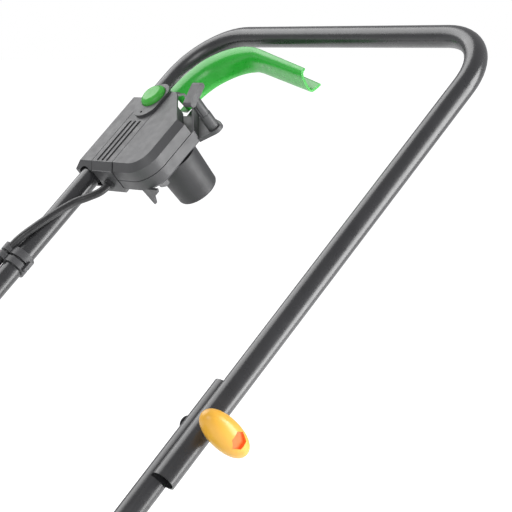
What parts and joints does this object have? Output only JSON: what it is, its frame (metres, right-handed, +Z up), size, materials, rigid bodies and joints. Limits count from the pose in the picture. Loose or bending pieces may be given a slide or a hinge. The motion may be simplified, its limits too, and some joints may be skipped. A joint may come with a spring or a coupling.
{
  "type": "push lawn mower",
  "caption": "Corded electric push lawn mower: folding black tube handle, switch box with green bail lever and lock button, yellow clamp knobs, green deck, wheels, blade and rear grass box.",
  "frame": {"origin": "on the ground, below the centre of the whole machine", "axes": "+Z up; -Y is the front of the mower; +X is the left hand of an operator behind it"},
  "size_m": [0.5158, 1.26, 0.951],
  "materials": {
    "deck_plastic": "satin green moulded plastic with a fine grain",
    "cover_plastic": "fine-grained dark grey moulded plastic",
    "box_plastic": "fine satin dark grey moulded plastic",
    "tube_paint": "glossy black powder paint",
    "steel": "zinc plated steel",
    "blade_steel": "dark hardened steel with ground edges",
    "motor_steel": "plain rolled steel",
    "lamination": "stacked electrical sheet",
    "winding": "laminations with enamelled copper windings",
    "tyre_rubber": "matt black tyre plastic",
    "rim_plastic": "dark grey moulded plastic",
    "cap_plastic": "satin green",
    "knob_plastic": "orange-yellow satin plastic, deeper orange in its recess",
    "lever_plastic": "bright green satin plastic",
    "button_plastic": "light green satin plastic",
    "cable_rubber": "black rubber sheath",
    "black_plastic": "black moulded plastic",
    "brass": "plated brass",
    "capacitor_case": "white plastic case"
  },
  "bodies": {
    "chassis": {"deck_shell": "deck_plastic", "motor_cover": "cover_plastic", "motor_housing": "motor_steel", "motor_stator": "winding", "bearings": "steel", "capacitor": "capacitor_case", "front_axle": "steel", "rear_axle": "steel", "axle_clips": "steel", "chassis_screws": "steel", "lower_tube_left": "tube_paint", "lower_tube_right": "tube_paint", "clamp_bolts": "steel", "clamp_washers": "steel", "cable_lower": "cable_rubber", "cable_clips_lower": "black_plastic", "flap_pin": "steel", "flap_spring": "steel"},
    "rotor": {"rotor_shaft": "steel", "rotor_core": "lamination", "cooling_fan": "black_plastic", "blade_carrier": "black_plastic", "blade": "blade_steel", "blade_bolt": "steel"},
    "rear_flap": {"rear_flap": "deck_plastic"},
    "grass_box": {"grass_box_basket": "cover_plastic", "grass_box_lid": "deck_plastic", "grass_box_grip": "cover_plastic"},
    "upper_handle": {"upper_handle_tube": "tube_paint", "box_tube_cover": "box_plastic", "box_centre_band": "box_plastic", "box_side_cover": "box_plastic", "box_rear_shell": "box_plastic", "box_screws": "steel", "inlet_shroud": "black_plastic", "inlet_pins": "brass", "cable_hook": "box_plastic", "micro_switch": "black_plastic", "lever_pin": "steel", "cable_gland": "black_plastic", "cable_upper": "cable_rubber", "cable_clip_upper": "box_plastic", "cable_bend": "cable_rubber", "lock_spring": "steel"},
    "switch_lever": {"switch_lever": "lever_plastic"},
    "lock_button": {"lock_button": "button_plastic"},
    "knob_left": {"knob_left": "knob_plastic"},
    "knob_right": {"knob_right": "knob_plastic"},
    "front_left_wheel": {"front_left_tyre": "tyre_rubber", "front_left_rim": "rim_plastic", "front_left_cap": "cap_plastic"},
    "front_right_wheel": {"front_right_tyre": "tyre_rubber", "front_right_rim": "rim_plastic", "front_right_cap": "cap_plastic"},
    "rear_left_wheel": {"rear_left_tyre": "tyre_rubber", "rear_left_rim": "rim_plastic", "rear_left_cap": "cap_plastic"},
    "rear_right_wheel": {"rear_right_tyre": "tyre_rubber", "rear_right_rim": "rim_plastic", "rear_right_cap": "cap_plastic"}
  },
  "joints": [
    {"name": "front_left_wheel_spin", "type": "hinge", "parent": "chassis", "child": "front_left_wheel", "pos_m": [0.23, -0.552, 0.07], "axis": [1, 0, 0], "continuous": true},
    {"name": "front_right_wheel_spin", "type": "hinge", "parent": "chassis", "child": "front_right_wheel", "pos_m": [-0.23, -0.552, 0.07], "axis": [1, 0, 0], "continuous": true},
    {"name": "rear_left_wheel_spin", "type": "hinge", "parent": "chassis", "child": "rear_left_wheel", "pos_m": [0.23, -0.12, 0.085], "axis": [1, 0, 0], "continuous": true},
    {"name": "rear_right_wheel_spin", "type": "hinge", "parent": "chassis", "child": "rear_right_wheel", "pos_m": [-0.23, -0.12, 0.085], "axis": [1, 0, 0], "continuous": true},
    {"name": "blade_spin", "type": "hinge", "parent": "chassis", "child": "rotor", "pos_m": [0, -0.345, 0.11], "axis": [0, 0, 1], "continuous": true},
    {"name": "flap_hinge", "type": "hinge", "parent": "chassis", "child": "rear_flap", "pos_m": [0, -0.099, 0.223], "axis": [1, 0, 0], "range_deg": [0, 60]},
    {"name": "grass_box_slide", "type": "slide", "parent": "chassis", "child": "grass_box", "axis": [0, 1, 0], "range_m": [0, 0.25]},
    {"name": "handle_fold", "type": "hinge", "parent": "chassis", "child": "upper_handle", "pos_m": [0, 0.26119, 0.61556], "axis": [1, 0, 0], "range_deg": [0, 145], "deforming": ["cable_bend"]},
    {"name": "lever_swing", "type": "hinge", "parent": "upper_handle", "child": "switch_lever", "pos_m": [-0.176, 0.53084, 0.86006], "axis": [0, -0.6717, 0.7408], "range_deg": [0, 19], "stiffness_Nm_per_rad": 0.8, "springref_deg": -14.32},
    {"name": "lock_press", "type": "slide", "parent": "upper_handle", "child": "lock_button", "axis": [0, 0.6717, -0.7408], "range_m": [0, 0.004], "stiffness_N_per_m": 600, "springref_m": -0.002, "deforming": ["lock_spring"]},
    {"name": "knob_left_turn", "type": "hinge", "parent": "chassis", "child": "knob_left", "pos_m": [0.24, 0.26119, 0.61556], "axis": [1, 0, 0], "continuous": true},
    {"name": "knob_right_turn", "type": "hinge", "parent": "chassis", "child": "knob_right", "pos_m": [-0.24, 0.26119, 0.61556], "axis": [1, 0, 0], "continuous": true}
  ]
}
